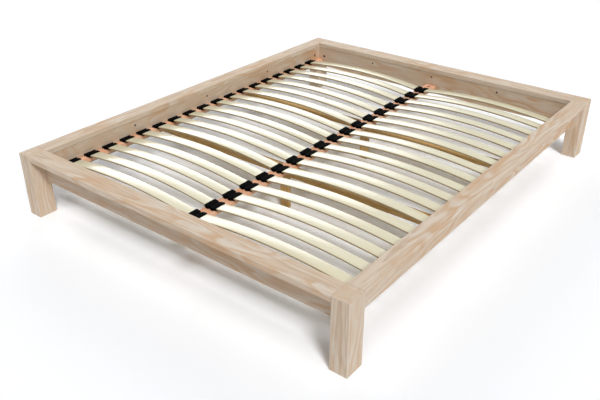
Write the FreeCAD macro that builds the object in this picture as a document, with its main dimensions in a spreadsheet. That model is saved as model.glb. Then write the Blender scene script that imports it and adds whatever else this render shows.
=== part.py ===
import FreeCAD, Part
import math
import os
import re
import Sketcher

# A low double bed frame with a sprung slat base. Millimetres, +Z up.
# X runs across the bed, Y from the foot end (front) to the head end (back).
# The origin is on the floor, under the middle of the frame.

sizes = {
    # opening for the mattress, and the frame round it
    "mattress_width": 1600,
    "mattress_length": 2000,
    "frame_height": 302,
    "leg_width": 73,
    "leg_depth": 87,
    "top_thickness": 25,
    "rail_thickness": 18,
    "rail_height": 119,
    "rail_setback": 2.5,
    "edge_chamfer": 1.5,
    # longerons, cross members and centre legs under the slats
    "longeron_drop": 99.5,
    "longeron_thickness": 20,
    "centre_longeron_width": 60,
    "side_longeron_width": 30,
    "cross_width": 73,
    "cross_thickness": 20,
    "front_cross_inset": 704,
    "back_cross_inset": 663,
    "centre_leg_width": 47,
    "centre_leg_thickness": 20,
    "front_leg_offset": 26.5,
    "back_leg_offset": 14.5,
    # bowed slats
    "slat_count": 18,
    "slat_margin": 116.8,
    "slat_width": 53,
    "slat_thickness": 8,
    "slat_bow": 29.3,
    "slat_seat": 24,
    # moulded slat holders
    "holder_wall": 5,
    "holder_floor": 1.5,
    "holder_roof": 1.4,
    "holder_back": 12,
    "holder_web": 10,
    "holder_gap": 1,
    "notch_width": 6,
    "notch_depth": 9,
    "fit_clearance": 0.2,
    # cam locks and loose tenons
    "cam_diameter": 15,
    "cam_depth": 12.5,
    "cam_slot_length": 9,
    "cam_slot_width": 1.8,
    "cam_slot_depth": 2.5,
    "cam_setback": 40,
    "cam_drop_end": 79.5,
    "cam_drop_side": 71.5,
    "longeron_cam_setback": 25,
    "tenon_length": 40,
    "tenon_width": 30,
    "tenon_thickness": 8,
    "tenon_rise_end": 25,
    "tenon_rise_side": 98,
}

doc = FreeCAD.newDocument("slatted_bed")
sheet = doc.addObject("Spreadsheet::Sheet", "Sizes")
for row, (name, number) in enumerate(sizes.items(), 1):
    sheet.set("A%d" % row, name)
    sheet.set("B%d" % row, str(number))
    sheet.setAlias("B%d" % row, name)
doc.recompute()

# places worked out from the sizes above
rail_face_x = "(mattress_width / 2 + rail_setback)"
rail_face_y = "(mattress_length / 2 + rail_setback)"
leg_x = "(mattress_width / 2 + leg_width / 2)"
leg_y = "(mattress_length / 2 + leg_depth / 2)"
rail_middle_x = "(%s + rail_thickness / 2)" % rail_face_x
rail_middle_y = "(%s + rail_thickness / 2)" % rail_face_y
rail_base = "(frame_height - top_thickness - rail_height)"
longeron_top = "(frame_height - longeron_drop)"
longeron_base = "(%s - longeron_thickness)" % longeron_top
cross_base = "(%s - cross_thickness)" % longeron_base
side_longeron_x = "(%s - side_longeron_width / 2)" % rail_face_x

# the rows of slats share the length between the first and the last, a margin from the rails
slat_pitch = "(2 * (%s - slat_margin) / (slat_count - 1))" % rail_face_y

# the slat is one arc, from the side holder's back wall to the web of the centre holder
side_tip = "(%s - holder_gap - holder_back)" % rail_face_x
centre_tip = "(holder_web / 2)"
slat_middle = "((%s + %s) / 2)" % (side_tip, centre_tip)
slat_half = "((%s - %s) / 2 - fit_clearance)" % (side_tip, centre_tip)
slat_radius = "((%s * %s + slat_bow * slat_bow) / (2 * slat_bow))" % (slat_half, slat_half)
slat_slope = "(slat_bow * 2 * %s / (%s * %s - slat_bow * slat_bow))" % (slat_half, slat_half, slat_half)
holder_length = "(slat_width + 2 * (holder_wall + fit_clearance))"
pocket_height = "(slat_thickness * sqrt(1 + %s * %s) + 2 * fit_clearance)" % (slat_slope, slat_slope)


def bound(text):
    """An expression on the sheet's cells, from plain size names."""
    return re.sub(r"[a-z_]+", lambda m: "Sizes." + m[0] if m[0] in sizes else m[0], str(text))


def value(text):
    return float(sheet.evalExpression(bound(text)))


def origin_plane(body, role):
    return [p for p in body.Origin.OriginFeatures if p.Role == role][0]


nodes = []


def new_body(label, x="0", y="0", z="0", turn=0, kept=True):
    """A body at x, y, z, turned about +Z; kept says that it is a node of its own."""
    body = doc.addObject("PartDesign::Body", label)
    if kept:
        nodes.append(body)
    body.Label = label
    body.Placement = FreeCAD.Placement(
        FreeCAD.Vector(value(x), value(y), value(z)),
        FreeCAD.Rotation(FreeCAD.Vector(0, 0, 1), turn),
    )
    for axis, place in (("x", x), ("y", y), ("z", z)):
        body.setExpression("Placement.Base." + axis, bound(place))
    return body


def new_sketch(body, role, name, offset="0"):
    sketch = body.newObject("Sketcher::SketchObject", body.Name + "_" + name)
    sketch.AttachmentSupport = [(origin_plane(body, role), "")]
    sketch.MapMode = "FlatFace"
    sketch.AttachmentOffset = FreeCAD.Placement(FreeCAD.Vector(0, 0, value(offset)), FreeCAD.Rotation())
    sketch.setExpression("AttachmentOffset.Base.z", bound(offset))
    return sketch


def dimension(sketch, kind, *where):
    """Add one driving dimension whose last argument is an expression."""
    index = sketch.addConstraint(Sketcher.Constraint(kind, *where[:-1], value(where[-1])))
    sketch.setExpression("Constraints[%d]" % index, bound(where[-1]))


def pin(sketch, geometry, point, u, v):
    """Hold a point of the geometry at u, v from the sketch's origin."""
    dimension(sketch, "DistanceX", -1, 1, geometry, point, u)
    dimension(sketch, "DistanceY", -1, 1, geometry, point, v)


def draw_polygon(sketch, corners):
    places = [FreeCAD.Vector(value(u), value(v), 0) for u, v in corners]
    first = sketch.GeometryCount
    count = len(corners)
    for i in range(count):
        sketch.addGeometry(Part.LineSegment(places[i], places[(i + 1) % count]), False)
    for i in range(count):
        sketch.addConstraint(Sketcher.Constraint("Coincident", first + i, 2, first + (i + 1) % count, 1))
    for i, (u, v) in enumerate(corners):
        pin(sketch, first + i, 1, u, v)


def rectangle(width, depth, u="0", v="0"):
    """Corners of a rectangle centred on u, v."""
    return [
        ("%s - %s / 2" % (u, width), "%s - %s / 2" % (v, depth)),
        ("%s + %s / 2" % (u, width), "%s - %s / 2" % (v, depth)),
        ("%s + %s / 2" % (u, width), "%s + %s / 2" % (v, depth)),
        ("%s - %s / 2" % (u, width), "%s + %s / 2" % (v, depth)),
    ]


def pad(body, sketch, length, midplane=False):
    feature = body.newObject("PartDesign::Pad", sketch.Name + "_pad")
    feature.Profile = sketch
    feature.Midplane = midplane
    feature.Length = value(length)
    feature.setExpression("Length", bound(length))
    sketch.Visibility = False
    return feature


def pocket(body, sketch, depth, away=False, midplane=False):
    """Cut the sketch into the body; depth None goes right through."""
    doc.recompute()
    before = body.Shape.Volume
    feature = body.newObject("PartDesign::Pocket", sketch.Name + "_cut")
    feature.Profile = sketch
    feature.Reversed = away
    feature.Midplane = midplane
    if depth is None:
        feature.Type = "ThroughAll"
    else:
        feature.Length = value(depth)
        feature.setExpression("Length", bound(depth))
    doc.recompute()
    if not body.Shape.Volume < before:
        raise RuntimeError(feature.Name + " removes nothing")
    return feature


def chamfer(body, base, chosen):
    """Ease the edges of base for which chosen(edge) is true."""
    doc.recompute()
    names = ["Edge%d" % n for n, edge in enumerate(base.Shape.Edges, 1) if chosen(edge)]
    feature = body.newObject("PartDesign::Chamfer", body.Name + "_chamfer")
    feature.Base = (base, names)
    feature.Size = value("edge_chamfer")
    feature.setExpression("Size", bound("edge_chamfer"))
    return feature


def runs_along(edge, axis):
    direction = edge.Vertexes[-1].Point - edge.Vertexes[0].Point
    direction.normalize()
    return abs(direction.dot(axis)) > 0.99


# face of a body: origin plane, sign of the offset along its normal, pocket reversed
faces = {
    "+X": ("YZ_Plane", "", False),
    "-X": ("YZ_Plane", "-", True),
    "-Y": ("XZ_Plane", "", False),
    "+Y": ("XZ_Plane", "-", True),
    "+Z": ("XY_Plane", "", False),
    "-Z": ("XY_Plane", "-", True),
}


def face_sketch(body, name, side, distance):
    """A sketch on the face that lies at a distance from the body's origin."""
    role, sign, away = faces[side]
    return new_sketch(body, role, name, sign + "(" + distance + ")"), away


def bore(body, name, side, distance, centres, diameter, depth):
    """Round blind holes into a face."""
    sketch, away = face_sketch(body, name, side, distance)
    for u, v in centres:
        middle = FreeCAD.Vector(value(u), value(v), 0)
        radius = value(diameter) / 2
        circle = sketch.addGeometry(Part.Circle(middle, FreeCAD.Vector(0, 0, 1), radius), False)
        pin(sketch, circle, 3, u, v)
        dimension(sketch, "Diameter", circle, diameter)
    pocket(body, sketch, depth, away)


def mortice(body, name, side, distance, place, width, height):
    """A slot into a face for half of a loose tenon."""
    sketch, away = face_sketch(body, name, side, distance)
    draw_polygon(sketch, rectangle(width, height, *place))
    pocket(body, sketch, "tenon_length / 2 + fit_clearance", away)


def board(label, length, width, thickness, x, y, z, turn=0, long_edges_only=True):
    """A planed board lying along its own X, with its long edges eased."""
    body = new_body(label, x, y, z, turn)
    sketch = new_sketch(body, "XY_Plane", "outline")
    draw_polygon(sketch, rectangle(length, width))
    blank = pad(body, sketch, thickness)
    along = FreeCAD.Vector(1, 0, 0)
    chamfer(body, blank, lambda e: runs_along(e, along) or not long_edges_only)
    return body


cam_bore = "(cam_diameter + 2 * fit_clearance)"
tenon_wide = "(tenon_width + 2 * fit_clearance)"
tenon_thin = "(tenon_thickness + 2 * fit_clearance)"


# ---- legs, top boards and rails -------------------------------------------------------------

def make_leg(label, side_x, side_y):
    """A full-height leg; side_x and side_y are 1 or -1 and say which corner it stands in."""
    body = board(label, "leg_width", "leg_depth", "frame_height",
                 "%d * %s" % (side_x, leg_x), "%d * %s" % (side_y, leg_y), "0",
                 long_edges_only=False)
    to_end = ("-X" if side_x > 0 else "+X", "leg_width / 2")
    to_side = ("-Y" if side_y > 0 else "+Y", "leg_depth / 2")
    top_place = ("0", "frame_height - top_thickness / 2")
    mortice(body, "end_top", *to_end, top_place, tenon_wide, tenon_thin)
    mortice(body, "side_top", *to_side, top_place, tenon_wide, tenon_thin)
    # the tenons of the two rails cross inside the leg, so they stand at different heights
    end_place = ("%d * (%s - %s)" % (side_y, rail_middle_y, leg_y), rail_base + " + tenon_rise_end")
    side_place = ("%d * (%s - %s)" % (side_x, rail_middle_x, leg_x), rail_base + " + tenon_rise_side")
    mortice(body, "end_rail", *to_end, end_place, tenon_thin, tenon_wide)
    mortice(body, "side_rail", *to_side, side_place, tenon_thin, tenon_wide)


def make_top_board(label, length, width, x, y, turn):
    body = board(label, length, width, "top_thickness", x, y, "frame_height - top_thickness", turn)
    for side in ("+X", "-X"):
        name = "right" if side == "+X" else "left"
        mortice(body, name, side, length + " / 2", ("0", "top_thickness / 2"), tenon_wide, tenon_thin)


def make_rail(label, length, cam_drop, tenon_rise, x, y, turn):
    """An upright rail board whose inner face is on its own -Y side."""
    body = board(label, length, "rail_thickness", "rail_height", x, y, rail_base, turn)
    axis = "(frame_height - %s - %s)" % (cam_drop, rail_base)
    cams = [("%d * (%s / 2 - cam_setback)" % (n, length), axis) for n in (-1, 1)]
    bore(body, "cams", "-Y", "rail_thickness / 2", cams, cam_bore, "cam_depth")
    for side in ("+X", "-X"):
        name = "right" if side == "+X" else "left"
        mortice(body, name, side, length + " / 2", ("0", tenon_rise), tenon_thin, tenon_wide)


for side_y, end in ((-1, "front"), (1, "back")):
    for side_x, side in ((-1, "left"), (1, "right")):
        make_leg("leg_%s_%s" % (end, side), side_x, side_y)
for sign, end, turn in ((-1, "front", 180), (1, "back", 0)):
    make_top_board("top_board_" + end, "mattress_width", "leg_depth", "0", "%d * %s" % (sign, leg_y), turn)
    make_rail("rail_" + end, "mattress_width", "cam_drop_end", "tenon_rise_end",
              "0", "%d * %s" % (sign, rail_middle_y), turn)
for sign, side, turn in ((-1, "left", 90), (1, "right", -90)):
    make_top_board("top_board_" + side, "mattress_length", "leg_width", "%d * %s" % (sign, leg_x), "0", turn)
    make_rail("rail_" + side, "mattress_length", "cam_drop_side", "tenon_rise_side",
              "%d * %s" % (sign, rail_middle_x), "0", turn)


# ---- slat holders ---------------------------------------------------------------------------

# heights above the longeron of the pocket's floor and roof at the slat's tip, and of the top
pocket_floor = "(holder_floor - fit_clearance)"
pocket_roof = "(%s + %s)" % (pocket_floor, pocket_height)
holder_top = "(%s + holder_roof)" % pocket_roof
mouth_rise = "(slat_seat * %s)" % slat_slope


def row_place(index):
    """Y of one slat and of its two holders."""
    return "((%d - (slat_count - 1) / 2) * %s)" % (index, slat_pitch)


def cut_pocket(body, name, sign, inner):
    """The tilted slot for a slat's end; its mouth opens to the side of sign."""
    mouth = "(%s + slat_seat)" % inner
    beyond = "(%s + 1)" % mouth
    rise = "(%s + %s)" % (mouth_rise, slat_slope)
    corners = [
        ("%d * %s" % (sign, inner), pocket_floor),
        ("%d * %s" % (sign, beyond), "%s + %s" % (pocket_floor, rise)),
        ("%d * %s" % (sign, beyond), "%s + %s" % (pocket_roof, rise)),
        ("%d * %s" % (sign, inner), pocket_roof),
    ]
    sketch = new_sketch(body, "XZ_Plane", name)
    draw_polygon(sketch, corners)
    pocket(body, sketch, "slat_width + 2 * fit_clearance", midplane=True)


def cut_notches(body, middle):
    """Slots from both long sides, between the slat's end and what is behind it."""
    sketch = new_sketch(body, "XY_Plane", "notches")
    for sign in (-1, 1):
        place = "%d * (%s / 2 - notch_depth / 2)" % (sign, holder_length)
        draw_polygon(sketch, rectangle("notch_width", "notch_depth", middle, place))
    pocket(body, sketch, None, away=True)


def double_holder():
    """The holder on the centre longeron: a sloping house each side of a web."""
    body = new_body("double_holder", kept=False)
    half = "(holder_web / 2 + slat_seat)"
    sketch = new_sketch(body, "XZ_Plane", "outline")
    draw_polygon(sketch, [
        ("-" + half, "0"),
        (half, "0"),
        (half, "%s + %s" % (holder_top, mouth_rise)),
        ("holder_web / 2", holder_top),
        ("-holder_web / 2", holder_top),
        ("-" + half, "%s + %s" % (holder_top, mouth_rise)),
    ])
    pad(body, sketch, holder_length, midplane=True)
    cut_pocket(body, "right_pocket", 1, "(holder_web / 2)")
    cut_pocket(body, "left_pocket", -1, "(holder_web / 2)")
    cut_notches(body, "0")
    return body


def single_holder():
    """The holder on a side longeron: its back stands at x = 0 and its mouth opens to +X."""
    body = new_body("single_holder", kept=False)
    mouth = "(holder_back + slat_seat)"
    sketch = new_sketch(body, "XZ_Plane", "outline")
    draw_polygon(sketch, [
        ("0", "0"),
        (mouth, "0"),
        (mouth, "%s + %s" % (holder_top, mouth_rise)),
        ("holder_back", holder_top),
        ("0", holder_top),
    ])
    pad(body, sketch, holder_length, midplane=True)
    cut_pocket(body, "pocket", 1, "holder_back")
    cut_notches(body, "(holder_back / 2)")
    return body


def group(label, shapes):
    """One node that holds several separate solids."""
    feature = doc.addObject("Part::Feature", label)
    feature.Label = label
    feature.Shape = Part.makeCompound(shapes)
    nodes.append(feature)


def placed(source, position, rotation):
    copy = source.Shape.copy()
    copy.Placement = FreeCAD.Placement(FreeCAD.Vector(*position), rotation)
    return copy


def holder_row(label, holder, x, turn):
    rotation = FreeCAD.Rotation(FreeCAD.Vector(0, 0, 1), turn)
    rows = range(int(value("slat_count")))
    places = [(value(x), value(row_place(i)), value(longeron_top)) for i in rows]
    group(label, [placed(holder, place, rotation) for place in places])


double = double_holder()
single = single_holder()
doc.recompute()
holder_row("holders_centre", double, "0", 0)
holder_row("holders_left", single, "-(%s - holder_gap)" % rail_face_x, 0)
holder_row("holders_right", single, "(%s - holder_gap)" % rail_face_x, 180)


# ---- longerons, cross members and centre legs -----------------------------------------------

# a longeron's own X lies along the bed
centre_longeron = board("longeron_centre", "(2 * %s)" % rail_face_y, "centre_longeron_width",
                        "longeron_thickness", "0", "0", longeron_base, 90)
longeron_cams = [("%d * (%s - longeron_cam_setback)" % (n, rail_face_y), "0") for n in (-1, 1)]
bore(centre_longeron, "cams", "+Z", "longeron_thickness", longeron_cams, cam_bore, "cam_depth")
for sign, side in ((-1, "left"), (1, "right")):
    board("longeron_" + side, "mattress_length", "side_longeron_width", "longeron_thickness",
          "%d * %s" % (sign, side_longeron_x), "0", longeron_base, 90)

# each centre leg stands under its cross member, a little towards the foot end of its middle
for sign, end in ((-1, "front"), (1, "back")):
    cross_place = "%d * (%s - %s_cross_inset)" % (sign, rail_face_y, end)
    board("cross_member_" + end, "(2 * %s)" % rail_face_x, "cross_width", "cross_thickness",
          "0", cross_place, cross_base)
    board("centre_leg_" + end, "centre_leg_width", "centre_leg_thickness", cross_base,
          "0", "%s - %s_leg_offset" % (cross_place, end), "0", long_edges_only=False)


# ---- bowed slats ----------------------------------------------------------------------------

def slat_arc(hub, radius, half):
    """The arc over the hub between two verticals at half each side of it."""
    spread = math.asin(half / radius)
    circle = Part.Circle(hub, FreeCAD.Vector(0, 0, 1), radius)
    return Part.ArcOfCircle(circle, math.pi / 2 - spread, math.pi / 2 + spread)


def make_slat(label, sign, index):
    """A laminated slat: one arc with parallel faces and upright ends, padded across its width."""
    height = "%s + holder_floor" % longeron_top
    body = new_body(label, "%d * %s" % (sign, slat_middle), row_place(index), height)
    sketch = new_sketch(body, "XZ_Plane", "profile")
    half = value(slat_half)
    radius = value(slat_radius)
    thickness = value("slat_thickness")
    hub = FreeCAD.Vector(0, value("slat_bow") - radius, 0)
    lower = slat_arc(hub, radius, half)
    upper = slat_arc(hub, radius + thickness, half)
    right_end = Part.LineSegment(lower.StartPoint, upper.StartPoint)
    left_end = Part.LineSegment(upper.EndPoint, lower.EndPoint)
    for piece in (lower, upper, right_end, left_end):
        sketch.addGeometry(piece, False)
    # 0 lower arc, 1 upper arc, 2 right end, 3 left end
    sketch.addConstraint(Sketcher.Constraint("Coincident", 0, 1, 2, 1))
    sketch.addConstraint(Sketcher.Constraint("Coincident", 1, 1, 2, 2))
    sketch.addConstraint(Sketcher.Constraint("Coincident", 1, 2, 3, 1))
    sketch.addConstraint(Sketcher.Constraint("Coincident", 0, 2, 3, 2))
    sketch.addConstraint(Sketcher.Constraint("Coincident", 0, 3, 1, 3))
    sketch.addConstraint(Sketcher.Constraint("Vertical", 2))
    sketch.addConstraint(Sketcher.Constraint("Vertical", 3))
    pin(sketch, 0, 1, slat_half, "0")
    pin(sketch, 0, 2, "-" + slat_half, "0")
    dimension(sketch, "DistanceY", -1, 1, 0, 3, "slat_bow - " + slat_radius)
    dimension(sketch, "Radius", 1, slat_radius + " + slat_thickness")
    pad(body, sketch, "slat_width", midplane=True)
    return body


for sign, side in ((-1, "left"), (1, "right")):
    for index in range(int(value("slat_count"))):
        make_slat("slat_%s_%02d" % (side, index + 1), sign, index)


# ---- cam locks and loose tenons -------------------------------------------------------------

def make_cam():
    """A cam lock: a disc below z = 0 with a driver slot in its face."""
    body = new_body("cam", kept=False)
    sketch = new_sketch(body, "XY_Plane", "outline")
    circle = Part.Circle(FreeCAD.Vector(0, 0, 0), FreeCAD.Vector(0, 0, 1), value("cam_diameter") / 2)
    sketch.addGeometry(circle, False)
    sketch.addConstraint(Sketcher.Constraint("Coincident", 0, 3, -1, 1))
    dimension(sketch, "Diameter", 0, "cam_diameter")
    pad(body, sketch, "cam_depth - fit_clearance").Reversed = True
    slot = new_sketch(body, "XY_Plane", "slot")
    draw_polygon(slot, rectangle("cam_slot_length", "cam_slot_width"))
    pocket(body, slot, "cam_slot_depth")
    return body


def make_tenon():
    """A loose tenon about its own middle: length along X, width along Y."""
    body = new_body("tenon", kept=False)
    sketch = new_sketch(body, "XY_Plane", "outline")
    draw_polygon(sketch, rectangle("tenon_length", "tenon_width"))
    pad(body, sketch, "tenon_thickness", midplane=True)
    return body


def facing(x_axis, z_axis):
    """The rotation that carries +X and +Z to two square directions."""
    x_axis = FreeCAD.Vector(*x_axis)
    z_axis = FreeCAD.Vector(*z_axis)
    return FreeCAD.Rotation(x_axis, z_axis.cross(x_axis), z_axis, "ZXY")


cam = make_cam()
tenon = make_tenon()
doc.recompute()

cams = []
tenons = []
corner_x = value("mattress_width / 2")
corner_y = value("mattress_length / 2")
top_middle = value("frame_height - top_thickness / 2")
for a in (-1, 1):
    # a longeron's cam faces up
    place = (0, a * value(rail_face_y + " - longeron_cam_setback"), value(longeron_top))
    cams.append(placed(cam, place, facing((0, a, 0), (0, 0, 1))))
    for b in (-1, 1):
        # the corner at a, b: the end pieces run along X and the side pieces along Y
        place = (a * (corner_x - value("cam_setback")), b * value(rail_face_y), value("frame_height - cam_drop_end"))
        cams.append(placed(cam, place, facing((a, 0, 0), (0, -b, 0))))
        place = (a * value(rail_face_x), b * (corner_y - value("cam_setback")), value("frame_height - cam_drop_side"))
        cams.append(placed(cam, place, facing((0, b, 0), (-a, 0, 0))))
        tenons.append(placed(tenon, (a * corner_x, b * value(leg_y), top_middle), facing((a, 0, 0), (0, 0, 1))))
        tenons.append(placed(tenon, (a * value(leg_x), b * corner_y, top_middle), facing((0, b, 0), (0, 0, 1))))
        place = (a * corner_x, b * value(rail_middle_y), value(rail_base + " + tenon_rise_end"))
        tenons.append(placed(tenon, place, facing((a, 0, 0), (0, b, 0))))
        place = (a * value(rail_middle_x), b * corner_y, value(rail_base + " + tenon_rise_side"))
        tenons.append(placed(tenon, place, facing((0, b, 0), (a, 0, 0))))

group("cam_locks", cams)
group("loose_tenons", tenons)


# ---- check and write ------------------------------------------------------------------------

doc.recompute()
for item in doc.Objects:
    if "Invalid" in item.State or "Error" in item.State:
        raise RuntimeError("%s failed: %s" % (item.Name, item.State))
for node in nodes:
    if node.Shape.isNull() or not node.Shape.isValid():
        raise RuntimeError(node.Label + " has no valid shape")

os.makedirs("parts", exist_ok=True)
for node in nodes:
    node.Shape.exportStep("parts/%s.step" % node.Label)
print(len(nodes), "nodes,", sum(len(node.Shape.Solids) for node in nodes), "solids")
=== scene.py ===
# The looks of a low slatted double bed frame: pale pine boards, bowed laminated slats
# in black holders, three longerons, two cross members and their centre legs.
import math
import random

import bpy
from mathutils import Matrix, Vector


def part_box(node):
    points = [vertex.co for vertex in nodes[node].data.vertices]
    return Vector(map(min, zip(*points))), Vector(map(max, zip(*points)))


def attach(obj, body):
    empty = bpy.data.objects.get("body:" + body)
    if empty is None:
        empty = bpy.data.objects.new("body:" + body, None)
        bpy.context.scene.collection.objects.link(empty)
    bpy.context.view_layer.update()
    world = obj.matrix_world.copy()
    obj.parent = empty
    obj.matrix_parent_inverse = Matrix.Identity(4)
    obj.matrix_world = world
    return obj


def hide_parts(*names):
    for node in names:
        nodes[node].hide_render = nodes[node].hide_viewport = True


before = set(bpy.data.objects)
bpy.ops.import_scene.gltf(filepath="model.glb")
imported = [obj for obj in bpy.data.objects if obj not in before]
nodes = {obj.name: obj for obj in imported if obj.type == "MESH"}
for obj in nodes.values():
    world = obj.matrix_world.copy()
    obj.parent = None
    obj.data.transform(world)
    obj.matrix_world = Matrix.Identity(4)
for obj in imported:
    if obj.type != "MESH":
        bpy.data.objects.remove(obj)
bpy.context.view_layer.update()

axisIndex = {"X": 0, "Y": 1, "Z": 2}  # by the letter of a board's grain


class Wire:
    # a socket of a node tree; sums on wires add Math nodes
    def __init__(self, tree, socket=None):
        self.tree = tree
        self.socket = socket

    def node(self, kind, settings=None, inputs=None, output=0):
        # inputs are values or wires, by a socket's name or number
        made = self.tree.nodes.new(kind)
        for name, value in (settings or {}).items():
            setattr(made, name, value)
        for name, value in (inputs or {}).items():
            if isinstance(value, Wire):
                self.tree.links.new(value.socket, made.inputs[name])
            else:
                made.inputs[name].default_value = value
        return Wire(self.tree, made.outputs[output])

    def math(self, operation, first, second=0.0):
        return self.node("ShaderNodeMath", {"operation": operation}, {0: first, 1: second})

    def __add__(self, other):
        return self.math("ADD", self, other)

    def __radd__(self, other):
        return self.math("ADD", other, self)

    def __sub__(self, other):
        return self.math("SUBTRACT", self, other)

    def __rsub__(self, other):
        return self.math("SUBTRACT", other, self)

    def __mul__(self, other):
        return self.math("MULTIPLY", self, other)

    def __rmul__(self, other):
        return self.math("MULTIPLY", other, self)

    def __truediv__(self, other):
        return self.math("DIVIDE", self, other)

    def __pow__(self, other):
        return self.math("POWER", self, other)

    def size(self):
        return self.math("ABSOLUTE", self)

    def fraction(self):
        return self.math("FRACT", self)

    def whole(self):
        return self.math("FLOOR", self)

    def least(self, other):
        return self.math("MINIMUM", self, other)

    def most(self, other):
        return self.math("MAXIMUM", self, other)

    def step(self, start, end):
        # 0 at start, 1 at end, eased between them; start may be the higher one
        return self.node(
            "ShaderNodeMapRange", {"interpolation_type": "SMOOTHSTEP"},
            {"Value": self, "From Min": start, "From Max": end})

    def split(self):
        return [self.node("ShaderNodeSeparateXYZ", None, {0: self}, axis) for axis in range(3)]

    def join(self, x, y, z):
        return self.node("ShaderNodeCombineXYZ", None, {0: x, 1: y, 2: z})

    def scaled(self, factors):
        return self.node("ShaderNodeVectorMath", {"operation": "MULTIPLY"}, {0: self, 1: factors})

    def moved(self, shift):
        return self.node("ShaderNodeVectorMath", {"operation": "ADD"}, {0: self, 1: shift})

    def noise(self, scale, detail=2.0, roughness=0.5):
        inputs = {"Vector": self, "Scale": scale, "Detail": detail, "Roughness": roughness}
        return self.node("ShaderNodeTexNoise", None, inputs, "Fac")

    def whiteNoise(self):
        # a number without a pattern for each value
        return self.node("ShaderNodeTexWhiteNoise", {"noise_dimensions": "1D"}, {"W": self}, "Value")

    def between(self, first, second):
        # a colour: first where this mask is 0, second where it is 1
        pair = [end if isinstance(end, Wire) else (*end, 1.0) for end in (first, second)]
        return self.node("ShaderNodeMix", {"data_type": "RGBA"}, {0: self, 6: pair[0], 7: pair[1]}, 2)


def newMaterial(name):
    material = bpy.data.materials.new(name)
    material.use_nodes = True
    material.node_tree.nodes.clear()
    return material, Wire(material.node_tree)


def showSurface(shader, kind):
    output = shader.tree.nodes.new(kind)
    shader.tree.links.new(shader.socket, output.inputs["Surface"])


def finishMaterial(start, colour, roughness, height, depth, **fixed):
    # the shader of one material, with its relief as a bump of the given depth in metres;
    # fixed values go to the sockets of their names, where _ stands for a space
    relief = start.node("ShaderNodeBump", None, {"Height": height, "Distance": depth, "Strength": 1.0})
    inputs = {"Base Color": colour, "Roughness": roughness, "Normal": relief}
    inputs.update({name.replace("_", " "): value for name, value in fixed.items()})
    showSurface(start.node("ShaderNodeBsdfPrincipled", None, inputs), "ShaderNodeOutputMaterial")


def objectPoint(start):
    return start.node("ShaderNodeTexCoord", None, None, "Object")


pineLook = {
    "pale": (0.705, 0.605, 0.490),
    "body": (0.665, 0.540, 0.415),
    "late": (0.500, 0.345, 0.225),
    "flame": (0.595, 0.395, 0.245),
    "washed": (0.715, 0.640, 0.555),
    "ring": 0.0062,
    "bandWidth": 0.09,
    "roughness": 0.66,
}

# the rails at the head and on the left get a darker, warmer copy of the pine: painted shade for their
# inner faces, which lie inside the frame
shadedRailLook = dict(
    pineLook,
    pale=(0.645, 0.530, 0.405),
    body=(0.608, 0.472, 0.342),
    late=(0.458, 0.302, 0.186),
    flame=(0.545, 0.345, 0.202),
    washed=(0.655, 0.560, 0.458),
)

longeronLook = dict(
    pineLook,
    pale=(0.860, 0.520, 0.345),
    body=(0.820, 0.440, 0.265),
    late=(0.640, 0.265, 0.125),
    flame=(0.740, 0.350, 0.190),
    washed=(0.840, 0.540, 0.370),
    ring=0.0040,
)

beamLook = dict(
    pineLook,
    pale=(0.640, 0.420, 0.170),
    body=(0.560, 0.345, 0.120),
    late=(0.380, 0.205, 0.060),
    flame=(0.470, 0.270, 0.085),
    washed=(0.610, 0.415, 0.190),
    ring=0.0045,
)


# what the woods have in common: depths and widths in metres, shares from 0 to 1
grainLook = {
    "wanderDepth": 0.034,
    "rippleDepth": 0.007,
    "wanderTurns": 2.0,
    "goldenShare": 0.6180339,  # keeps the tones of neighbouring rings apart
    "ringShare": 0.75,
    "lateShares": (0.35, 0.50),
    "washShare": 0.75,
    "fibreStretch": 0.018,
    "fibreScale": 900.0,
    "fibreShare": 0.28,
    "streakScale": 230.0,
    "paleStreakShare": 0.42,
    "darkStreakShare": 0.34,
    "endShare": 0.15,
    # a fine line of painted shade beside each sawn end, for the seam where a board meets a leg
    "seamShadeWidths": (0.0026, 0.0010),
    "seamShadeShare": 0.55,
    "wornWidths": (0.0034, 0.0006),
    "wornShare": 0.50,
    "fibreRoughness": 0.14,
    "lateRoughness": 0.06,
    "reliefDepth": 0.00035,
    "specular": 0.30,
    "sideways": 0.018,  # the log's middle, at most to either side of the board's
    "lean": 0.006,  # how much of that it gains per metre, at most
    "seeds": (1.0, 60.0),
}

# how each board is sawn: how far the log's middle lies below it, the log's taper per metre
# along the grain, and how strongly the broad flames show
boardCuts = {
    "topBoard": {"look": pineLook, "depth": 0.045, "taper": 0.022, "figure": 1.0},
    "rail": {"look": pineLook, "depth": 0.060, "taper": 0.016, "figure": 1.0},
    # painted shade: the darker, warmer pine for the rails whose seen faces lie inside the frame
    "shadedRail": {"look": shadedRailLook, "depth": 0.060, "taper": 0.016, "figure": 1.0},
    "leg": {"look": pineLook, "depth": 0.085, "taper": 0.012, "figure": 0.6},
    "crossMember": {"look": beamLook, "depth": 0.050, "taper": 0.014, "figure": 0.6},
    "centreLeg": {"look": beamLook, "depth": 0.060, "taper": 0.010, "figure": 0.6},
    "longeron": {"look": longeronLook, "depth": 0.050, "taper": 0.014, "figure": 0.6},
    "tenon": {"look": longeronLook, "depth": 0.050, "taper": 0.010, "figure": 0.6},
}


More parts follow.
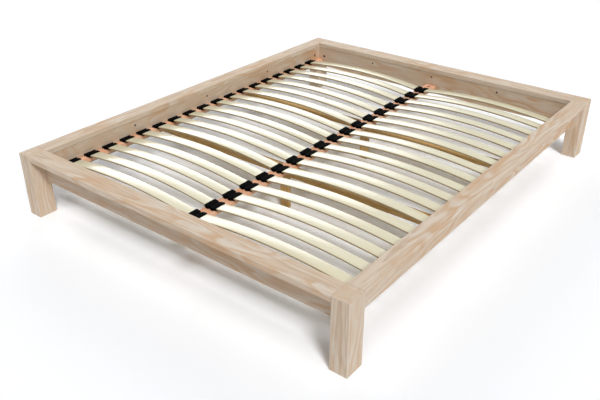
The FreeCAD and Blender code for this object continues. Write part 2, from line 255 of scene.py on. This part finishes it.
def woodMaterial(name, cut, box, grain, heart, tilt, seed):
    # solid wood cut from a log: heart is where the log's middle passes the board's middle,
    # in metres from it, and tilt is how far it drifts per metre along the grain
    material, start = newMaterial(name)
    look = cut["look"]
    low, high = box
    along = axisIndex[grain]
    sides = [axis for axis in range(3) if axis != along]
    point = objectPoint(start)
    places = point.split()
    middle = (low + high) / 2
    local = [places[axis] - middle[axis] for axis in range(3)]
    w = local[along]
    u = local[sides[0]]
    v = local[sides[1]]
    shift = start.join(seed * 1.7, seed * 3.1, seed * 0.9)

    def stretched(ratio):
        # the place, moved by the board's own seed and drawn out along the grain
        factors = [1.0, 1.0, 1.0]
        factors[along] = ratio
        return point.scaled(factors).moved(shift)

    # slow wander of the rings along the board
    wander = stretched(0.16).noise(9.0, 1.0)
    ripple = stretched(0.16).noise(38.0, 2.0)
    across = u - heart[0] - w * tilt[0] + (wander - 0.5) * grainLook["wanderDepth"]
    deep = v - heart[1] - w * tilt[1] + (ripple - 0.5) * grainLook["rippleDepth"]
    radius = (across * across + deep * deep) ** 0.5
    phase = radius / look["ring"] + (wander - 0.5) * grainLook["wanderTurns"]
    turn = phase.fraction()
    ringTone = (phase.whole() * grainLook["goldenShare"]).fraction()

    # one year's growth: pale early wood darkens slowly, then ends in a narrow late line
    late = turn.step(0.30, 0.92) * turn.step(1.0, 0.93)
    lateLeast, lateMore = grainLook["lateShares"]
    colour = (ringTone * grainLook["ringShare"]).between(look["body"], look["pale"])
    colour = (late * (lateLeast + lateMore * ringTone)).between(colour, look["late"])

    # broad figure: the contours of a slow field, each darkening slowly and ending sharply
    field = stretched(0.22).noise(7.0, 2.5, 0.50) / look["bandWidth"]
    flame = field.fraction()
    band = flame.step(0.10, 0.75) * flame.step(1.0, 0.80)
    patch = stretched(0.22).noise(9.0, 3.0, 0.55).step(0.38, 0.62)
    colour = (band * patch * cut["figure"]).between(colour, look["flame"])
    wash = stretched(0.30).noise(16.0, 4.0, 0.60).step(0.44, 0.66)
    colour = ((1.0 - band) * wash * grainLook["washShare"]).between(colour, look["washed"])

    # fine fibres along the grain
    drawn = stretched(grainLook["fibreStretch"])
    fibre = drawn.noise(grainLook["fibreScale"], 3.0, 0.65)
    streak = drawn.noise(grainLook["streakScale"], 3.0, 0.60)
    colour = (fibre.step(0.52, 0.80) * grainLook["fibreShare"]).between(colour, look["late"])
    colour = (streak.step(0.50, 0.75) * grainLook["paleStreakShare"]).between(colour, look["washed"])
    colour = (streak.step(0.48, 0.28) * grainLook["darkStreakShare"]).between(colour, look["flame"])

    # sawn ends, a fine line of painted shade beside them where a board meets a leg, and arrises worn pale
    reach = [(high[axis] - low[axis]) / 2 - local[axis].size() for axis in range(3)]
    endFace = reach[along].step(0.0002, 0.00005)
    # painted shade: a fine dark line beside each sawn end, standing for the shade in the seam where a
    # board meets a leg
    seamShade = reach[along].step(*grainLook["seamShadeWidths"]) * (1.0 - endFace)
    colour = (endFace * grainLook["endShare"]).between(colour, look["flame"])
    colour = (seamShade * grainLook["seamShadeShare"]).between(colour, look["late"])
    first = reach[0].least(reach[1])
    second = reach[0].most(reach[1]).least(reach[2])
    edge = first.most(second)
    worn = edge.step(*grainLook["wornWidths"]) * (0.35 + 0.65 * streak)
    colour = (worn * grainLook["wornShare"]).between(colour, look["washed"])

    roughness = look["roughness"] + grainLook["fibreRoughness"] * fibre - grainLook["lateRoughness"] * late
    height = fibre * 0.5 - late * 0.35 + streak * 0.4
    finishMaterial(
        start, colour, roughness, height, grainLook["reliefDepth"],
        Specular_IOR_Level=grainLook["specular"])
    return material


def dress(node, material):
    for slot in nodes[node].material_slots:
        slot.material = material
    if not nodes[node].material_slots:
        nodes[node].data.materials.append(material)


woodSeeds = random.Random(7)


def dressBoard(node, cutName, grain):
    cut = boardCuts[cutName]
    sideways = woodSeeds.uniform(-grainLook["sideways"], grainLook["sideways"])
    lean = woodSeeds.uniform(-grainLook["lean"], grainLook["lean"])
    taper = cut["taper"] * woodSeeds.choice((-1, 1))
    seed = woodSeeds.uniform(*grainLook["seeds"])
    heart = (sideways, -cut["depth"])
    dress(node, woodMaterial(node + "Wood", cut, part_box(node), grain, heart, (lean, taper), seed))


print("wood")
# the head and left rails take the darker pine, painted shade on their inner faces
for end in ("front", "back"):
    dressBoard("top_board_" + end, "topBoard", "X")
    dressBoard("rail_" + end, "shadedRail" if end == "back" else "rail", "X")
    dressBoard("cross_member_" + end, "crossMember", "X")
    dressBoard("centre_leg_" + end, "centreLeg", "Z")
    for side in ("left", "right"):
        dressBoard("leg_" + end + "_" + side, "leg", "Z")
for side in ("left", "right"):
    dressBoard("top_board_" + side, "topBoard", "Y")
    dressBoard("rail_" + side, "shadedRail" if side == "left" else "rail", "Y")
for place in ("left", "centre", "right"):
    dressBoard("longeron_" + place, "longeron", "Y")


def deselectAll():
    for other in bpy.context.selected_objects:
        other.select_set(False)


def activate(piece):
    deselectAll()
    piece.select_set(True)
    bpy.context.view_layer.objects.active = piece


def boxPiece(name, low, high):
    low, high = Vector(low), Vector(high)
    deselectAll()
    bpy.ops.mesh.primitive_cube_add(size=1.0, location=(low + high) / 2, scale=high - low)
    piece = bpy.context.object
    piece.name = name
    bpy.ops.object.transform_apply(location=True, rotation=True, scale=True)
    return piece


def rodPiece(name, middle, radius, length, sides):
    # an upright rod
    deselectAll()
    bpy.ops.mesh.primitive_cylinder_add(vertices=sides, radius=radius, depth=length, location=middle)
    piece = bpy.context.object
    piece.name = name
    bpy.ops.object.transform_apply(location=True, rotation=True, scale=True)
    return piece


def selectCorners(piece, test):
    # picks the corners whose place passes the test and leaves the piece in edit mode
    activate(piece)
    bpy.ops.object.mode_set(mode="EDIT")
    bpy.ops.mesh.select_mode(type="VERT")
    bpy.ops.mesh.select_all(action="DESELECT")
    bpy.ops.object.mode_set(mode="OBJECT")
    for corner in piece.data.vertices:
        corner.select = bool(test(corner.co))
    bpy.ops.object.mode_set(mode="EDIT")


def selectFaces(piece, test):
    # picks the faces whose middle and normal pass the test, in edit mode
    activate(piece)
    bpy.ops.object.mode_set(mode="EDIT")
    bpy.ops.mesh.select_mode(type="FACE")
    bpy.ops.mesh.select_all(action="DESELECT")
    bpy.ops.object.mode_set(mode="OBJECT")
    for face in piece.data.polygons:
        face.select = bool(test(face.center, face.normal))
    bpy.ops.object.mode_set(mode="EDIT")


def selectUprights(piece, test):
    # picks the upright edges whose two ends pass the test, in edit mode
    activate(piece)
    bpy.ops.object.mode_set(mode="EDIT")
    bpy.ops.mesh.select_mode(type="EDGE")
    bpy.ops.mesh.select_all(action="DESELECT")
    bpy.ops.object.mode_set(mode="OBJECT")
    for edge in piece.data.edges:
        ends = [piece.data.vertices[index].co for index in edge.vertices]
        slant = (ends[0].xy - ends[1].xy).length
        edge.select = slant < 0.0001 and test(ends[0]) and test(ends[1])
    bpy.ops.object.mode_set(mode="EDIT")


def slicePiece(piece, place, normal):
    # adds an edge loop where a plane crosses the piece
    activate(piece)
    bpy.ops.object.mode_set(mode="EDIT")
    bpy.ops.mesh.select_all(action="SELECT")
    bpy.ops.mesh.bisect(plane_co=place, plane_no=normal)
    bpy.ops.object.mode_set(mode="OBJECT")


def cutPiece(piece, cutter):
    # takes the cutter's space out of the piece and removes the cutter
    cut = piece.modifiers.new("cut", "BOOLEAN")
    cut.operation = "DIFFERENCE"
    cut.solver = "EXACT"
    cut.object = cutter
    activate(piece)
    bpy.ops.object.modifier_apply(modifier="cut")
    bpy.data.objects.remove(cutter)


def roundPiece(piece, width):
    # softens every edge sharper than 40 degrees
    soft = piece.modifiers.new("round", "BEVEL")
    soft.width = width
    soft.segments = 2
    soft.limit_method = "ANGLE"
    soft.angle_limit = math.radians(40)
    activate(piece)
    bpy.ops.object.modifier_apply(modifier="round")
    bpy.ops.object.shade_smooth_by_angle(angle=math.radians(35))


def placeCopy(pattern, name, matrix, node=None):
    # a copy with its own mesh, moved in its mesh and standing for a node where one is named
    piece = pattern.copy()
    piece.data = pattern.data.copy()
    piece.name = name
    piece.data.transform(matrix)
    bpy.context.scene.collection.objects.link(piece)
    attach(piece, "root")
    if node:
        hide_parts(node)


slatLook = {
    "thick": 0.008,
    "corner": 0.0022,
    "cornerSteps": 3,
    "arcSteps": 44,
    "rows": 18,
    "veneers": 6,
    "face": (0.745, 0.707, 0.522),
    "faceDark": (0.655, 0.598, 0.398),
    "fleck": (0.560, 0.470, 0.280),
    "edge": (0.430, 0.335, 0.185),
    "edgeDark": (0.290, 0.215, 0.110),
    "glueLine": (0.130, 0.090, 0.045),
    "edgeDepth": 0.0012,
    "cloudShare": 0.55,
    "fibreShare": 0.45,
    "fleckShare": 0.35,
    "toneShare": 0.30,
    "glueShare": 0.8,
    "roughness": 0.30,
    "fibreRoughness": 0.10,
    "edgeRoughness": 0.25,
    "coat": 0.55,
    "coatRoughness": 0.14,
    "specular": 0.35,
    "reliefDepth": 0.00012,
}


def slatName(side, row):
    return "slat_%s_%02d" % (side, row)


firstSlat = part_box(slatName("right", 1))
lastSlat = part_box(slatName("right", slatLook["rows"]))
slatMiddle = (firstSlat[0] + firstSlat[1]) / 2
slatPitch = (lastSlat[0].y - firstSlat[0].y) / (slatLook["rows"] - 1)
slatWidth = firstSlat[1].y - firstSlat[0].y
slatHalfChord = (firstSlat[1].x - firstSlat[0].x) / 2
slatRise = firstSlat[1].z - firstSlat[0].z - slatLook["thick"]
slatRadius = (slatHalfChord ** 2 + slatRise ** 2) / (2 * slatRise)
slatCentre = Vector((slatMiddle.x, slatMiddle.y, firstSlat[0].z + slatRise - slatRadius))


def slatMaterial():
    material, start = newMaterial("slatLaminate")
    look = slatLook
    point = objectPoint(start)
    x, y, z = point.split()
    # which slat this is, and the place across it
    lane = (y - slatMiddle.y) / slatPitch + 0.5
    across = (lane.fraction() - 0.5) * slatPitch
    column = x.step(-0.001, 0.001)
    number = lane.whole() + column * 37.0
    tone = number.whiteNoise()
    inX = x.size() - slatCentre.x
    inZ = z - slatCentre.z
    depth = (inX * inX + inZ * inZ) ** 0.5 - slatRadius

    fibre = start.join(x * 0.02, y + tone * 5.0, z).noise(700.0, 3.0, 0.6)
    cloud = start.join(x * 0.25 + tone * 9.0, y, z).noise(18.0, 3.0, 0.6)
    fleck = start.join(x * 0.35, y + tone * 3.0, z).noise(420.0, 2.0, 0.5)
    face = (cloud.step(0.42, 0.70) * look["cloudShare"]).between(look["face"], look["faceDark"])
    face = (fibre.step(0.50, 0.78) * look["fibreShare"]).between(face, look["faceDark"])
    face = (fleck.step(0.56, 0.76) * look["fleckShare"]).between(face, look["fleck"])
    face = (tone * look["toneShare"]).between(face, look["faceDark"])

    # the long edges show the veneers and their glue lines
    layer = depth / look["thick"] * look["veneers"]
    glue = (layer.fraction() - 0.5).size().step(0.40, 0.49)
    layerTone = (layer.whole() + number).whiteNoise()
    grime = start.join(x * 0.06, y, z * 3.0).noise(220.0, 3.0, 0.6)
    edge = (layerTone * 0.6 + grime.step(0.45, 0.75) * 0.3).between(look["edge"], look["edgeDark"])
    edge = (glue * look["glueShare"]).between(edge, look["glueLine"])
    side = across.size().step(slatWidth / 2 - look["edgeDepth"], slatWidth / 2 - 0.0002)
    colour = side.between(face, edge)

    roughness = look["roughness"] + fibre * look["fibreRoughness"] + side * look["edgeRoughness"]
    height = fibre * 0.6 + fleck * 0.2 - glue * side * 0.6
    finishMaterial(
        start, colour, roughness, height, look["reliefDepth"], Coat_Weight=look["coat"],
        Coat_Roughness=look["coatRoughness"], Specular_IOR_Level=look["specular"])
    return material


def bowedSlat(name):
    # a rounded section beyond one tip, swept along the bow past the other and cut upright at both
    deselectAll()
    bpy.ops.mesh.primitive_plane_add(size=1.0, location=(0, 0, 0))
    piece = bpy.context.object
    piece.name = name
    bpy.ops.object.mode_set(mode="EDIT")
    bpy.ops.mesh.select_all(action="SELECT")
    bpy.ops.transform.resize(value=(slatLook["thick"], slatWidth, 1.0))
    bpy.ops.mesh.bevel(
        offset=slatLook["corner"], offset_type="OFFSET", segments=slatLook["cornerSteps"],
        affect="VERTICES")
    # stand the section up across the slat, with its thickness upwards
    bpy.ops.object.mode_set(mode="OBJECT")
    spread = math.asin((slatHalfChord + slatLook["thick"]) / slatRadius)
    for corner in piece.data.vertices:
        lift = slatRadius + slatLook["thick"] / 2 + corner.co.x
        corner.co = Vector((
            slatCentre.x - lift * math.sin(spread), slatCentre.y + corner.co.y,
            slatCentre.z + lift * math.cos(spread)))
    bpy.ops.object.mode_set(mode="EDIT")
    bpy.ops.mesh.select_all(action="SELECT")
    bpy.ops.mesh.spin(
        steps=slatLook["arcSteps"], angle=-2 * spread, center=slatCentre, axis=(0, 1, 0))
    for side in (-1, 1):
        bpy.ops.mesh.select_all(action="SELECT")
        bpy.ops.mesh.bisect(
            plane_co=(slatCentre.x + side * slatHalfChord, 0, 0), plane_no=(side, 0, 0),
            use_fill=True, clear_outer=True)
    bpy.ops.mesh.select_all(action="SELECT")
    bpy.ops.mesh.remove_doubles(threshold=0.00001)
    bpy.ops.mesh.normals_make_consistent(inside=False)
    bpy.ops.object.mode_set(mode="OBJECT")
    bpy.ops.object.shade_smooth_by_angle(angle=math.radians(35))
    return piece


print("slats")
laminate = slatMaterial()
pattern = bowedSlat("slatPattern")
pattern.data.materials.clear()
pattern.data.materials.append(laminate)
for side, mirror in (("left", -1), ("right", 1)):
    for row in range(1, slatLook["rows"] + 1):
        node = slatName(side, row)
        move = Matrix.Translation(((mirror - 1) * slatMiddle.x, (row - 1) * slatPitch, 0))
        placeCopy(pattern, "bowed_" + node, move, node)
bpy.data.objects.remove(pattern)


holderLook = {
    "roof": 0.0016,
    "web": 0.010,
    "back": 0.012,
    "floor": 0.0013,
    "gap": 0.0002,
    "biteRadius": 0.0050,
    "biteDepth": 0.0085,
    "biteSides": 20,
    "singleBite": 0.010,  # from the rail
    "doubleReach": (0.022, 0.031),  # from the web to the left and the right mouth
    "singleReach": 0.031,
    "corner": 0.009,
    "smallCorner": 0.003,
    "cornerSteps": 5,
    "thinning": 0.0004,  # of the roof, at the mouth
    "doubleFoot": 0.019,  # from the middle
    "singleFoot": 0.018,  # from the rail
    "archHeight": 0.0060,
    "archDepth": 0.002,
    "past": 0.004,  # how far a cutter reaches beyond the holder
    "pastMouth": 0.002,
    "round": 0.0004,
    "black": (0.0010, 0.0010, 0.0012),
    "dust": (0.0035, 0.0035, 0.0038),
    "roughness": 0.80,
    "specular": 0.03,
    "reliefDepth": 0.00008,
}

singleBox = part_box("holders_left")
holderBase = singleBox[0].z
holderHalfLength = (singleBox[1].y - singleBox[0].y - (slatLook["rows"] - 1) * slatPitch) / 2
holderSlope = math.tan(math.asin(slatHalfChord / slatRadius))
pocketHeight = slatLook["thick"] / math.cos(math.atan(holderSlope)) + 2 * holderLook["gap"]
holderCrown = holderLook["floor"] + pocketHeight + holderLook["roof"]


def plasticMaterial():
    material, start = newMaterial("holderPlastic")
    look = holderLook
    point = objectPoint(start)
    spark = point.noise(2600.0, 2.0, 0.6)
    cloud = point.noise(60.0, 3.0, 0.6)
    dusty = cloud.step(0.45, 0.75) * 0.7 + spark.step(0.60, 0.75) * 0.3
    colour = dusty.between(look["black"], look["dust"])
    roughness = look["roughness"] + spark * 0.12 + cloud * 0.06
    finishMaterial(
        start, colour, roughness, spark, look["reliefDepth"], Specular_IOR_Level=look["specular"])
    return material


def cutPocket(piece, side, inner, reach):
    # the tilted slot for a slat's end, open to the side and a little beyond the mouth
    reach = reach + holderLook["pastMouth"]
    halfWidth = slatWidth / 2 + holderLook["gap"]
    near, far = sorted((side * inner, side * (inner + reach)))
    floor = holderLook["floor"]
    cutter = boxPiece("pocket", (near, -halfWidth, floor), (far, halfWidth, floor + pocketHeight))
    selectCorners(cutter, lambda co: abs(co.x) > inner + reach / 2)
    bpy.ops.transform.translate(value=(0, 0, reach * holderSlope))
    bpy.ops.object.mode_set(mode="OBJECT")
    cutPiece(piece, cutter)


def cutBites(piece, middle):
    # the round-ended notches in the two long sides
    radius = holderLook["biteRadius"]
    for side in (-1, 1):
        place = side * (holderHalfLength - holderLook["biteDepth"] + radius)
        near, far = sorted((place, side * (holderHalfLength + holderLook["past"])))
        low, high = -holderCrown, 3 * holderCrown
        rod = rodPiece(
            "bite", (middle, place, (low + high) / 2), radius, high - low, holderLook["biteSides"])
        cutPiece(piece, rod)
        cutPiece(piece, boxPiece("bite", (middle - radius, near, low), (middle + radius, far, high)))


def cutArches(piece, side, foot, mouth):
    # the side walls stand on the longeron only in the middle; their feet stop short of the mouth
    past = holderLook["past"]
    wall = slatWidth / 2 - holderLook["archDepth"]
    start, end = sorted((side * foot, side * (mouth + past)))
    for edge in (-1, 1):
        near, far = sorted((edge * wall, edge * (holderHalfLength + past)))
        cutPiece(piece, boxPiece("arch", (start, near, -past), (end, far, holderLook["archHeight"])))


def shapeMouth(piece, side, inner, reach, radius):
    # the roof follows the slat out to the mouth, thins a little and has round corners
    slicePiece(piece, (side * inner, 0, 0), (1, 0, 0))
    justInside = inner + reach * 0.95
    selectCorners(piece, lambda co: co.z > holderCrown / 2 and side * co.x > justInside)
    bpy.ops.transform.translate(value=(0, 0, reach * holderSlope - holderLook["thinning"]))
    bpy.ops.object.mode_set(mode="OBJECT")
    selectUprights(piece, lambda co: side * co.x > justInside)
    bpy.ops.mesh.bevel(offset=radius, segments=holderLook["cornerSteps"], affect="EDGES")
    bpy.ops.object.mode_set(mode="OBJECT")


def doubleHolder(material):
    web = holderLook["web"] / 2
    left, right = holderLook["doubleReach"]
    piece = boxPiece(
        "doubleHolder", (-web - left, -holderHalfLength, 0), (web + right, holderHalfLength, holderCrown))
    mouths = ((-1, left, holderLook["smallCorner"]), (1, right, holderLook["corner"]))
    for side, reach, radius in mouths:
        shapeMouth(piece, side, web, reach, radius)
        cutPocket(piece, side, web, reach)
        cutArches(piece, side, holderLook["doubleFoot"], web + reach)
    cutBites(piece, 0.0)
    roundPiece(piece, holderLook["round"])
    piece.data.materials.append(material)
    return piece


def singleHolder(material):
    back = holderLook["back"]
    reach = holderLook["singleReach"]
    piece = boxPiece(
        "singleHolder", (0, -holderHalfLength, 0), (back + reach, holderHalfLength, holderCrown))
    shapeMouth(piece, 1, back, reach, holderLook["corner"])
    cutPocket(piece, 1, back, reach)
    cutArches(piece, 1, holderLook["singleFoot"], back + reach)
    cutBites(piece, holderLook["singleBite"])
    roundPiece(piece, holderLook["round"])
    piece.data.materials.append(material)
    return piece


print("slat holders")
plastic = plasticMaterial()
double = doubleHolder(plastic)
single = singleHolder(plastic)
halfTurn = Matrix.Rotation(math.pi, 4, "Z")
leftX = singleBox[0].x
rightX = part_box("holders_right")[1].x
for row in range(1, slatLook["rows"] + 1):
    y = slatMiddle.y + (row - 1) * slatPitch
    number = "_%02d" % row
    centre = Matrix.Translation((0, y, holderBase))
    left = Matrix.Translation((leftX, y, holderBase))
    right = Matrix.Translation((rightX, y, holderBase)) @ halfTurn
    placeCopy(double, "holderDouble" + number, centre, "holders_centre")
    placeCopy(single, "holderLeft" + number, left, "holders_left")
    placeCopy(single, "holderRight" + number, right, "holders_right")
bpy.data.objects.remove(double)
bpy.data.objects.remove(single)


lockLook = {
    "radius": 0.0074,
    "sides": 40,
    "deep": 0.0118,
    "rim": 0.0010,
    "dish": 0.0012,
    "bossRise": 0.00096,
    "bossRadius": 0.0042,
    "slotLong": 0.0088,
    "slotWide": 0.0016,
    "slotDeep": 0.0024,
    "proud": 0.0003,
    "round": 0.0002,
    "apart": 0.030,  # no two locks are nearer, and none is wider
    "zinc": (0.120, 0.112, 0.105),
    "tarnish": (0.045, 0.040, 0.036),
}

screwLook = {
    "radius": 0.0052,
    "sides": 28,
    "crown": 0.0015,
    "rings": 4,
    "ringTurn": math.radians(18),
    "deep": 0.0040,
    "crossLong": 0.0046,
    "crossWide": 0.0011,
    "crossDeep": 0.0016,
    "round": 0.00015,
    "height": 0.251,
    "sidePlaces": (-0.500, 0.0, 0.500),
    "endPlaces": (-0.400, 0.0, 0.400),
    "steel": (0.010, 0.009, 0.008),
    "wear": (0.030, 0.027, 0.024),
}

metalLook = {
    "metallic": 0.75,
    "roughness": 0.40,
    "gritRoughness": 0.22,
    "reliefDepth": 0.0001,
}


def metalMaterial(name, base, dark):
    material, start = newMaterial(name)
    point = objectPoint(start)
    grit = point.noise(1400.0, 3.0, 0.6)
    cloud = point.noise(160.0, 3.0, 0.6)
    colour = cloud.step(0.40, 0.70).between(base, dark)
    roughness = metalLook["roughness"] + grit * metalLook["gritRoughness"]
    finishMaterial(
        start, colour, roughness, grit, metalLook["reliefDepth"], Metallic=metalLook["metallic"])
    return material


def cutCross(piece, long, wide, low, high):
    # two crossed slots in the middle of a head
    for x, y in ((long / 2, wide / 2), (wide / 2, long / 2)):
        cutPiece(piece, boxPiece("cross", (-x, -y, low), (x, y, high)))


def camLock(material):
    # faces +Z with its face just proud of the wood at z = 0
    look = lockLook
    proud = look["proud"]
    piece = rodPiece(
        "camLock", (0, 0, proud - look["deep"] / 2), look["radius"], look["deep"], look["sides"])
    selectFaces(piece, lambda place, normal: normal.z > 0.9)
    bpy.ops.mesh.inset(thickness=look["rim"], depth=0.0)
    bpy.ops.mesh.extrude_region_move(TRANSFORM_OT_translate={"value": (0, 0, -look["dish"])})
    bpy.ops.mesh.inset(thickness=look["radius"] - look["rim"] - look["bossRadius"], depth=0.0)
    bpy.ops.mesh.extrude_region_move(TRANSFORM_OT_translate={"value": (0, 0, look["bossRise"])})
    bpy.ops.object.mode_set(mode="OBJECT")
    cutCross(piece, look["slotLong"], look["slotWide"], proud - look["slotDeep"], look["deep"])
    roundPiece(piece, look["round"])
    piece.data.materials.append(material)
    return piece


def roundScrew(material):
    # a low-domed head with a cross recess, its rim on the wood at z = 0
    look = screwLook
    piece = rodPiece("roundScrew", (0, 0, -look["deep"] / 2), look["radius"], look["deep"], look["sides"])
    selectFaces(piece, lambda place, normal: normal.z > 0.9)
    for ring in range(look["rings"]):
        before = ring * look["ringTurn"]
        after = before + look["ringTurn"]
        rise = look["crown"] * (math.sin(after) - math.sin(before))
        bpy.ops.mesh.extrude_region_move(TRANSFORM_OT_translate={"value": (0, 0, rise)})
        ratio = math.cos(after) / math.cos(before)
        bpy.ops.transform.resize(value=(ratio, ratio, 1.0))
    bpy.ops.object.mode_set(mode="OBJECT")
    cutCross(
        piece, look["crossLong"], look["crossWide"], look["crown"] - look["crossDeep"], look["deep"])
    roundPiece(piece, look["round"])
    piece.data.materials.append(material)
    return piece


def facing(place, direction, spin):
    # a matrix that stands a piece's +Z along a direction at a place
    turn = Vector(direction).to_track_quat("Z", "Y").to_matrix().to_4x4()
    return Matrix.Translation(place) @ turn @ Matrix.Rotation(spin, 4, "Z")


def solidBoxes(node, apart):
    # the lowest and highest corners of each solid of a node whose solids stand well apart
    clusters = []
    for corner in nodes[node].data.vertices:
        for cluster in clusters:
            if (cluster[0] - corner.co).length < apart:
                cluster.append(corner.co.copy())
                break
        else:
            clusters.append([corner.co.copy()])
    found = []
    for cluster in clusters:
        low = Vector([min(place[axis] for place in cluster) for axis in range(3)])
        high = Vector([max(place[axis] for place in cluster) for axis in range(3)])
        found.append((low, high))
    return found


def lockSeat(low, high):
    # where a lock's face shows and which way it faces: a lock is thin along its own axis
    middle = (low + high) / 2
    size = high - low
    if size.z < min(size.x, size.y):
        return (middle.x, middle.y, high.z), (0, 0, 1)
    if size.x < size.y:
        side = math.copysign(1, middle.x)
        return (side * innerX, middle.y, middle.z), (-side, 0, 0)
    side = math.copysign(1, middle.y)
    return (middle.x, side * innerY, middle.z), (0, -side, 0)


def screwSeats():
    # three on the inner face of each rail
    seats = []
    for side in (-1, 1):
        for y in screwLook["sidePlaces"]:
            seats.append(((side * innerX, y, screwLook["height"]), (-side, 0, 0)))
        for x in screwLook["endPlaces"]:
            seats.append(((x, side * innerY, screwLook["height"]), (0, -side, 0)))
    return seats


print("cam locks and screws")
zinc = metalMaterial("camZinc", lockLook["zinc"], lockLook["tarnish"])
steel = metalMaterial("screwSteel", screwLook["wear"], screwLook["steel"])
lockPattern = camLock(zinc)
screwPattern = roundScrew(steel)
spins = random.Random(11)
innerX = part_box("rail_right")[0].x
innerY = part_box("rail_back")[0].y
for index, box in enumerate(solidBoxes("cam_locks", lockLook["apart"])):
    matrix = facing(*lockSeat(*box), spins.uniform(0, math.pi))
    placeCopy(lockPattern, "camLock_%02d" % (index + 1), matrix, "cam_locks")
for index, seat in enumerate(screwSeats()):
    matrix = facing(*seat, spins.uniform(0, math.pi))
    placeCopy(screwPattern, "railScrew_%02d" % (index + 1), matrix)
bpy.data.objects.remove(lockPattern)
bpy.data.objects.remove(screwPattern)
dressBoard("loose_tenons", "tenon", "X")


floorLook = {
    "half": 30.0,
    "bounce": (0.84, 0.84, 0.85),  # what it throws back on the bed
    "shown": (1.065, 1.085, 1.115),  # what is seen of it
}

# the soft box's edges are angles in degrees: round from -X towards +Y, and up from the floor
lampLook = {
    "keyStrength": 2.34,
    "keyTurn": (math.radians(43), 0, math.radians(57)),
    "keyAngle": math.radians(15),
    "topStrength": 0.52,
    "topTurn": (math.radians(8), 0, math.radians(57)),
    "topAngle": math.radians(24),
    "horizon": 0.42,  # the fill's strength there; it falls to nothing overhead
    "boxLight": 4.7,
    "boxRound": (24, 31, 57, 66),
    "boxUp": (12.5, 16.5, 25, 40),
}

viewLook = {
    "place": (1.84037, -2.57322, 1.65886),
    "turn": (math.radians(60.739), 0, math.radians(38.007)),
    "lens": 43.364,
    "sensor": 36.0,
    "farthest": 100.0,
}


def seenRays(start):
    # 1 for every ray that shows the white studio: seen straight, in a gloss or through glass
    rays = [
        start.node("ShaderNodeLightPath", None, None, "Is %s Ray" % kind)
        for kind in ("Camera", "Glossy", "Transmission")]
    return (rays[0] + rays[1] + rays[2]).least(1.0)


def makeFloor():
    material, start = newMaterial("floorWhite")
    bounce = start.node("ShaderNodeBsdfDiffuse", None, {"Color": (*floorLook["bounce"], 1.0)})
    shown = start.node("ShaderNodeBsdfDiffuse", None, {"Color": (*floorLook["shown"], 1.0)})
    mixed = start.node("ShaderNodeMixShader", None, {0: seenRays(start), 1: bounce, 2: shown})
    showSurface(mixed, "ShaderNodeOutputMaterial")
    deselectAll()
    bpy.ops.mesh.primitive_plane_add(size=2 * floorLook["half"], location=(0, 0, 0))
    floor = bpy.context.object
    floor.name = "studioFloor"
    floor.data.materials.append(material)


def makeSun(name, strength, turn, angle):
    lamp = bpy.data.lights.new(name, "SUN")
    lamp.energy = strength
    lamp.angle = angle
    holder = bpy.data.objects.new(name, lamp)
    holder.rotation_euler = turn
    bpy.context.scene.collection.objects.link(holder)


def makeWorld():
    world = bpy.data.worlds.new("studioWhite")
    bpy.context.scene.world = world
    world.use_nodes = True
    tree = world.node_tree
    tree.nodes.clear()
    start = Wire(tree)
    straight = start.node("ShaderNodeLightPath", None, None, "Is Camera Ray")
    x, y, z = start.node("ShaderNodeTexCoord", None, None, "Generated").split()
    toDegrees = 180 / math.pi
    roundAngle = start.math("ARCTAN2", y, x * -1.0) * toDegrees
    upAngle = start.math("ARCSINE", z) * toDegrees
    left, leftFull, rightFull, right = lampLook["boxRound"]
    low, lowFull, highFull, high = lampLook["boxUp"]
    softBox = roundAngle.step(left, leftFull) * roundAngle.step(right, rightFull)
    softBox = softBox * upAngle.step(low, lowFull) * upAngle.step(high, highFull)
    # the fill is strongest at the horizon, and white stands where it is seen
    seen = seenRays(start)
    fill = (1.0 - z.most(0.0)) * lampLook["horizon"]
    plain = seen + (1.0 - seen) * fill
    strength = plain + softBox * (1.0 - straight) * lampLook["boxLight"]
    light = start.node("ShaderNodeBackground", None, {"Color": (1.0, 1.0, 1.0, 1.0), "Strength": strength})
    showSurface(light, "ShaderNodeOutputWorld")


def makeCamera():
    camera = bpy.data.cameras.new("photoView")
    camera.lens = viewLook["lens"]
    camera.sensor_width = viewLook["sensor"]
    camera.clip_end = viewLook["farthest"]
    holder = bpy.data.objects.new("photoView", camera)
    holder.location = viewLook["place"]
    holder.rotation_euler = viewLook["turn"]
    bpy.context.scene.collection.objects.link(holder)
    bpy.context.scene.camera = holder


print("floor, lamps and camera")
makeFloor()
makeSun("keySun", lampLook["keyStrength"], lampLook["keyTurn"], lampLook["keyAngle"])
makeSun("topSun", lampLook["topStrength"], lampLook["topTurn"], lampLook["topAngle"])
makeWorld()
makeCamera()
bpy.context.scene.view_settings.view_transform = "Standard"
